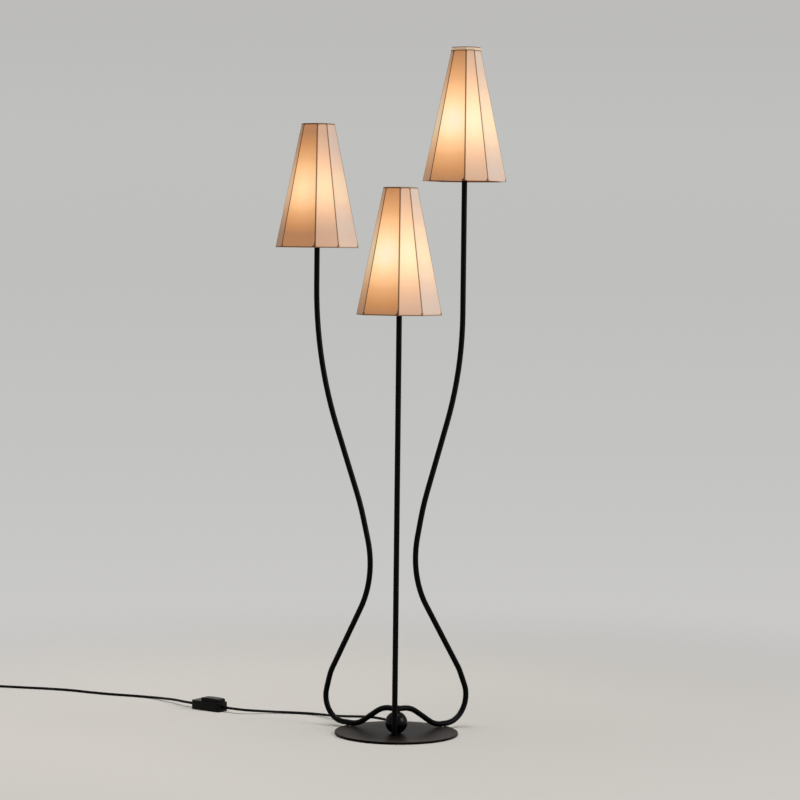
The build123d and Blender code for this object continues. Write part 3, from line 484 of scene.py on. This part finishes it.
# Thin cotton chintz, plain weave, stretched and glued: the lit bulb shows as a cream patch that
# falls off to orange tan, and the frame wire behind it stays dark.
def lit_cotton(side):
    shade = SHADES[side]
    material, tree, place = new_material(side + "_lit_cotton_chintz")
    slubs = level_slubs(tree, place)
    wander = add_node(tree, "ShaderNodeMapRange", {"Value": slubs, "To Min": -4 * MM, "To Max": 4 * MM})
    spread = add_node(
        tree,
        "ShaderNodeMath",
        {0: way_from_bulb(tree, place, shade), 1: wander.outputs["Result"]},
        operation="ADD",
    )
    fall = add_node(
        tree,
        "ShaderNodeMapRange",
        {
            "Value": spread.outputs["Value"],
            "From Min": GLOW_NEAR / shade["dim"] * MM,
            "From Max": GLOW_FAR / shade["dim"] * MM,
        },
    ).outputs["Result"]
    away_glow = add_node(tree, "ShaderNodeValToRGB", {"Fac": fall}, stops=GLOW_AWAY_FROM_KEY)
    key_glow = add_node(tree, "ShaderNodeValToRGB", {"Fac": fall}, stops=GLOW_FACING_KEY)
    # Painted light: the sides turned to the key lamp on the right get the paler glow, and those turned away
    # glow less.
    facing = add_node(tree, "ShaderNodeNewGeometry").outputs["Normal"]
    turned = add_node(tree, "ShaderNodeVectorMath", {0: facing, 1: KEY_LIGHT_SIDE}, operation="DOT_PRODUCT")
    key_facing = add_node(
        tree, "ShaderNodeMapRange", {"Value": turned.outputs["Value"], "From Min": 0.40, "From Max": 0.98}
    ).outputs["Result"]
    tone = add_node(
        tree,
        "ShaderNodeMix",
        {"Factor": key_facing, COLOUR_A: away_glow.outputs["Color"], COLOUR_B: key_glow.outputs["Color"]},
        data_type="RGBA",
    )
    side_on = add_node(tree, "ShaderNodeMapRange", {"Value": turned.outputs["Value"], "From Min": -1.0})
    level = add_node(tree, "ShaderNodeValToRGB", {"Fac": side_on.outputs["Result"]}, stops=PAINTED_GLOW_LEVELS)
    # The wire behind the cotton stops the light over its own width.
    wire = add_node(tree, "ShaderNodeAttribute", attribute_type="GEOMETRY", attribute_name="wire_mm")
    clear = add_node(
        tree,
        "ShaderNodeMapRange",
        {"Value": wire.outputs["Fac"], "From Min": 1.1, "From Max": 2.4},
        interpolation_type="SMOOTHSTEP",
    ).outputs["Result"]
    passed = add_node(tree, "ShaderNodeMapRange", {"Value": clear, "To Min": 0.16})
    lit = add_node(
        tree,
        "ShaderNodeVectorMath",
        {0: tone.outputs[MIXED], 1: level.outputs["Color"]},
        operation="MULTIPLY",
    )
    glow = add_node(
        tree,
        "ShaderNodeVectorMath",
        {0: lit.outputs["Vector"], "Scale": passed.outputs["Result"]},
        operation="SCALE",
    )
    # Painted shadow of the wire and hoops in the base colour: brown lines, paler on the sides turned to the
    # key lamp.
    line = add_node(
        tree,
        "ShaderNodeMix",
        {"Factor": key_facing, COLOUR_A: linear("#5e3a19"), COLOUR_B: linear("#94765a")},
        data_type="RGBA",
    )
    cloth = add_node(
        tree,
        "ShaderNodeMix",
        {"Factor": clear, COLOUR_A: line.outputs[MIXED], COLOUR_B: linear("#9b8a72")},
        data_type="RGBA",
    )
    # Plain weave: threads 0.5 mm apart in the real cloth, drawn at 2 mm to show.
    warp = add_node(
        tree,
        "ShaderNodeTexWave",
        {"Vector": place, "Scale": 1 / (6.3 * MM), "Distortion": 0.4},
        bands_direction="Z",
    )
    relief = add_node(tree, "ShaderNodeMath", {0: warp.outputs["Fac"], 1: slubs}, operation="ADD")
    bump = add_node(
        tree, "ShaderNodeBump", {"Height": relief.outputs["Value"], "Distance": 0.05 * MM, "Strength": 0.5}
    )
    shader = add_node(
        tree,
        "ShaderNodeBsdfPrincipled",
        {
            "Base Color": cloth.outputs[MIXED],
            "Emission Color": glow.outputs["Vector"],
            "Emission Strength": 1.17,
            "Normal": bump.outputs["Normal"],
            "Roughness": 0.86,
            "Specular IOR Level": 0.25,
            "Sheen Weight": 0.15,
        },
    )
    close_material(tree, shader.outputs["BSDF"])
    return material


def rib_corner(angle, radius):
    """Corner of the shade: angle 0 faces the front, positive towards the right."""
    turn = math.radians(angle)
    return Vector((radius * math.sin(turn), -radius * math.cos(turn), 0.0))


# The hoops and hems show as lines of painted shadow like the ribs do. A smaller share draws a wider line, and
# a start above 0 a fainter one.
BOTTOM_SHARE = 0.8
TOP_SHARE = 0.55
TAPE_SHARE = 0.7
FAINT_START = 1.6


def hoop_gaps(shade, height):
    """Distances from the bottom hoop, the top hoop and the tape's lower edge, as the lines count them."""
    from_top = shade["tall"] - height
    if shade["tape"] is None:
        return [BOTTOM_SHARE * height, TOP_SHARE * from_top]
    from_tape = abs(from_top - shade["tape"])
    return [FAINT_START + BOTTOM_SHARE * height, from_top, TAPE_SHARE * from_tape]


def stretched_cover(side, material):
    """Cotton stretched over eight ribs and drawn in a little between them."""
    shade = SHADES[side]
    tall = shade["tall"]
    narrowing = shade["top"] - BOTTOM_RADIUS
    cover = bmesh.new()
    wire_mm = cover.verts.layers.float.new("wire_mm")
    bmesh.ops.create_circle(cover, segments=len(RIBS), radius=BOTTOM_RADIUS)
    cover.verts.ensure_lookup_table()
    for vert, angle in zip(cover.verts, RIBS):
        vert.co = rib_corner(angle, BOTTOM_RADIUS)
    bmesh.ops.subdivide_edges(cover, edges=list(cover.edges), cuts=COLUMNS - 1)
    outline = list(cover.edges)
    for row in range(ROWS):
        here = BOTTOM_RADIUS + narrowing * row / ROWS
        there = BOTTOM_RADIUS + narrowing * (row + 1) / ROWS
        rise = bmesh.ops.extrude_edge_only(cover, edges=outline)["geom"]
        verts = [part for part in rise if isinstance(part, bmesh.types.BMVert)]
        bmesh.ops.scale(cover, vec=(there / here, there / here, 1.0), verts=verts)
        bmesh.ops.translate(cover, vec=(0.0, 0.0, tall / ROWS), verts=verts)
        outline = [part for part in rise if isinstance(part, bmesh.types.BMEdge)]
    for vert in cover.verts:
        share = vert.co.z / tall
        radius = BOTTOM_RADIUS + narrowing * share
        flat = Vector((vert.co.x, vert.co.y, 0.0))
        gaps = [(flat - rib_corner(angle, radius)).length for angle in RIBS]
        vert[wire_mm] = min(gaps + hoop_gaps(shade, vert.co.z))
        width = 2 * radius * math.sin(math.radians(WIDE_PANEL / 2))
        slack = 1 - abs(1 - 2 * min(1.0, min(gaps) / width))
        vert.co -= flat.normalized() * SAG * math.sin(math.pi * share) * slack
    bmesh.ops.solidify(cover, geom=list(cover.faces), thickness=CLOTH)
    bmesh.ops.recalc_face_normals(cover, faces=list(cover.faces))
    bmesh.ops.scale(cover, vec=(MM, MM, MM), verts=list(cover.verts))
    place = (shade["axis"][0] * MM, shade["axis"][1] * MM, shade["low"] * MM)
    bmesh.ops.translate(cover, vec=place, verts=list(cover.verts))
    piece = add_object(side + "_stretched_cover", cover, material)
    piece.data.shade_smooth()
    piece.data.set_sharp_from_angle(angle=math.radians(20.0))
    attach(piece, side + "_shade")
    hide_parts(side + "_shade_fabric")


# Cotton tape round the top of the tall shade: doubled, so it glows less and looks paler. Its two
# edges are drawn as thin brown lines, darker in colour and with almost no glow: painted shade.
TAPE_EDGE_LINES = (
    (0.00, "#000000"),
    (0.12, "#000000"),
    (0.24, "#ffffff"),
    (0.76, "#ffffff"),
    (0.88, "#000000"),
    (1.00, "#000000"),
)


def cotton_tape():
    material, tree, place = new_material("cream_cotton_tape")
    weft = add_node(tree, "ShaderNodeMapping", {"Vector": place, "Scale": (1.0, 1.0, 12.0)})
    threads = add_node(
        tree, "ShaderNodeTexNoise", {"Vector": weft.outputs["Vector"], "Scale": 1 / (8 * MM), "Detail": 3.0}
    ).outputs["Fac"]
    low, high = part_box("right_shade_band")
    height = add_node(tree, "ShaderNodeSeparateXYZ", {0: place}).outputs["Z"]
    rise = add_node(tree, "ShaderNodeMapRange", {"Value": height, "From Min": low.z, "From Max": high.z})
    flat = add_node(tree, "ShaderNodeValToRGB", {"Fac": rise.outputs["Result"]}, stops=TAPE_EDGE_LINES)
    woven = add_node(
        tree,
        "ShaderNodeMix",
        {"Factor": threads, COLOUR_A: linear("#7c5f42"), COLOUR_B: linear("#947252")},
        data_type="RGBA",
    )
    # Painted shade: along the two edge lines the glow drops to near nothing.
    glow = add_node(
        tree,
        "ShaderNodeMix",
        {"Factor": flat.outputs["Color"], COLOUR_A: linear("#1a1209"), COLOUR_B: woven.outputs[MIXED]},
        data_type="RGBA",
    )
    cotton = add_node(
        tree,
        "ShaderNodeMix",
        {"Factor": flat.outputs["Color"], COLOUR_A: linear("#5c4129"), COLOUR_B: linear("#cdbda6")},
        data_type="RGBA",
    )
    bump = add_node(tree, "ShaderNodeBump", {"Height": threads, "Distance": 0.08 * MM, "Strength": 0.6})
    shader = add_node(
        tree,
        "ShaderNodeBsdfPrincipled",
        {
            "Base Color": cotton.outputs[MIXED],
            "Emission Color": glow.outputs[MIXED],
            "Emission Strength": 1.0,
            "Normal": bump.outputs["Normal"],
            "Roughness": 0.9,
        },
    )
    close_material(tree, shader.outputs["BSDF"])
    return material


# Opal glass, blown and flashed white inside: an even warm glow.
def opal_glass():
    material, tree, place = new_material("lit_opal_glass")
    swirl = add_node(tree, "ShaderNodeTexNoise", {"Vector": place, "Scale": 1 / (25 * MM), "Detail": 2.0})
    glow = add_node(
        tree,
        "ShaderNodeMix",
        {"Factor": swirl.outputs["Fac"], COLOUR_A: linear("#ffe7bd"), COLOUR_B: linear("#fff1d6")},
        data_type="RGBA",
    )
    shader = add_node(
        tree,
        "ShaderNodeBsdfPrincipled",
        {
            "Base Color": linear("#f4efe4"),
            "Emission Color": glow.outputs[MIXED],
            "Emission Strength": 1.6,
            "Roughness": 0.22,
        },
    )
    close_material(tree, shader.outputs["BSDF"])
    return material


bulb_glass = opal_glass()


# ---- the pieces made here, and the finish of every CAD piece ----
cord_lead = lay_cord("cord_to_switch", lead_route, pvc_sheath)
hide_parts("cord_lead")
cord_run = lay_cord("cord_to_plug", run_route, pvc_sheath)
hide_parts("cord_run", "cord_coil", "cord_tail")

for side in SHADES:
    stretched_cover(side, lit_cotton(side))

FINISHES = {
    powder_coat: ["left_stem", "right_stem", "centre_stem", "arch_coupling", "post_link"],
    plate_coat: ["base_plate"],
    ball_enamel: ["hub_ball"],
    wool_felt: ["base_pad"],
    zinc_steel: ["hub_screw", "stem_screws", "stem_inserts", "switch_screws", "switch_spring"],
    turned_brass: ["stem_nipples", "switch_contacts", "plug_pins"],
    pvc_sheath: ["hub_relief", "coil_tie", "plug_body", "switch_reliefs"],
    abs_plastic: ["switch_base", "switch_cover", "switch_pedal"],
    polyamide: ["terminal_block"],
    cotton_tape(): ["right_shade_band"],
}
for side in SHADES:
    FINISHES[pvc_sheath].append(side + "_wire")
    FINISHES.setdefault(phenolic, []).extend([side + "_lampholder", side + "_clamp_ring"])
    FINISHES.setdefault(brown_wire, []).extend([side + "_shade_ribs", side + "_shade_spider"])
    FINISHES[turned_brass].extend([side + "_contacts", side + "_bulb_tip"])
    FINISHES.setdefault(rolled_aluminium, []).append(side + "_bulb_cap")
    FINISHES.setdefault(bulb_glass, []).append(side + "_bulb_glass")
for material, names in FINISHES.items():
    for name in names:
        nodes[name].data.materials.clear()
        nodes[name].data.materials.append(material)


# ---- floor, backdrop and lamps ----
# Painted board, matt: pale grey, drawn lighter and a little warmer on the left as painted light, fading out
# well before its edge.
FLOOR_RADIUS = 6.0
FLOOR_LIGHT_FALLOFF_TONES = ((0.0, "#e4dfd8"), (0.5, "#ddd9d2"), (1.0, "#d2cfca"))
WALL_TONES = (
    (0.00, "#d0cdc8"),
    (0.28, "#cbcac9"),
    (0.52, "#c3c3c1"),
    (0.68, "#bfbfbd"),
    (0.82, "#c0c0be"),
    (1.00, "#bbbab9"),
)


def matt_board():
    material, tree, place = new_material("pale_studio_floor")
    away = add_node(tree, "ShaderNodeVectorMath", {0: place}, operation="LENGTH")
    fade = add_node(
        tree,
        "ShaderNodeMapRange",
        {"Value": away.outputs["Value"], "From Min": 0.6, "From Max": 2.6},
        interpolation_type="SMOOTHERSTEP",
    )
    across = add_node(tree, "ShaderNodeSeparateXYZ", {0: place}).outputs["X"]
    # Painted light: the tone runs from lighter on the left to darker on the right.
    light_across = add_node(tree, "ShaderNodeMapRange", {"Value": across, "From Min": -0.9, "From Max": 0.9})
    sheet = add_node(tree, "ShaderNodeValToRGB", {"Fac": light_across.outputs["Result"]}, stops=FLOOR_LIGHT_FALLOFF_TONES)
    paper = add_node(tree, "ShaderNodeBsdfDiffuse", {"Color": sheet.outputs["Color"]})
    gone = add_node(tree, "ShaderNodeBsdfTransparent")
    mixed = add_node(
        tree,
        "ShaderNodeMixShader",
        {"Fac": fade.outputs["Result"], 1: paper.outputs["BSDF"], 2: gone.outputs["BSDF"]},
    )
    close_material(tree, mixed.outputs["Shader"])
    return material


def studio_floor():
    floor = bmesh.new()
    bmesh.ops.create_circle(floor, cap_ends=True, segments=96, radius=FLOOR_RADIUS)
    add_object("studio_floor", floor, matt_board())


def studio_world():
    """A grey backdrop for what sees it directly, and a dim cool fill for the rest."""
    world = bpy.data.worlds.new("studio")
    bpy.context.scene.world = world
    world.use_nodes = True
    tree = world.node_tree
    tree.nodes.clear()
    aim = add_node(tree, "ShaderNodeTexCoord").outputs["Generated"]
    height = add_node(tree, "ShaderNodeSeparateXYZ", {0: aim}).outputs["Z"]
    level = add_node(tree, "ShaderNodeMapRange", {"Value": height, "From Min": -0.24, "From Max": 0.10})
    wall = add_node(tree, "ShaderNodeValToRGB", {"Fac": level.outputs["Result"]}, stops=WALL_TONES)
    seen = add_node(tree, "ShaderNodeBackground", {"Color": wall.outputs["Color"], "Strength": 1.0})
    fill = add_node(tree, "ShaderNodeBackground", {"Color": linear("#c4c6ca"), "Strength": 0.16})
    rays = add_node(tree, "ShaderNodeLightPath").outputs
    through = add_node(
        tree,
        "ShaderNodeMath",
        {0: rays["Is Glossy Ray"], 1: rays["Is Transmission Ray"]},
        operation="MAXIMUM",
    )
    direct = add_node(
        tree, "ShaderNodeMath", {0: rays["Is Camera Ray"], 1: through.outputs["Value"]}, operation="MAXIMUM"
    )
    backed = add_node(
        tree,
        "ShaderNodeMixShader",
        {"Fac": direct.outputs["Value"], 1: fill.outputs["Background"], 2: seen.outputs["Background"]},
    )
    add_node(tree, "ShaderNodeOutputWorld", {"Surface": backed.outputs["Shader"]})


def softbox(name, place, target, size, power):
    """A white square lamp aimed at a point."""
    lamp = bpy.data.lights.new(name, "AREA")
    lamp.shape = "SQUARE"
    lamp.size = size
    lamp.energy = power
    box = bpy.data.objects.new(name, lamp)
    aim = Vector(target) - Vector(place)
    box.matrix_world = Matrix.Translation(place) @ aim.to_track_quat("-Z", "Y").to_matrix().to_4x4()
    bpy.context.scene.collection.objects.link(box)


studio_floor()
studio_world()
softbox("key_from_right", (4.0, -1.3, 2.3), (0.0, 0.0, 0.9), 2.4, 112.0)
softbox("overhead", (-0.6, 0.3, 4.6), (-0.3, 0.0, 0.0), 3.6, 150.0)

bpy.context.scene.view_settings.view_transform = "Standard"

low, high = cad_box
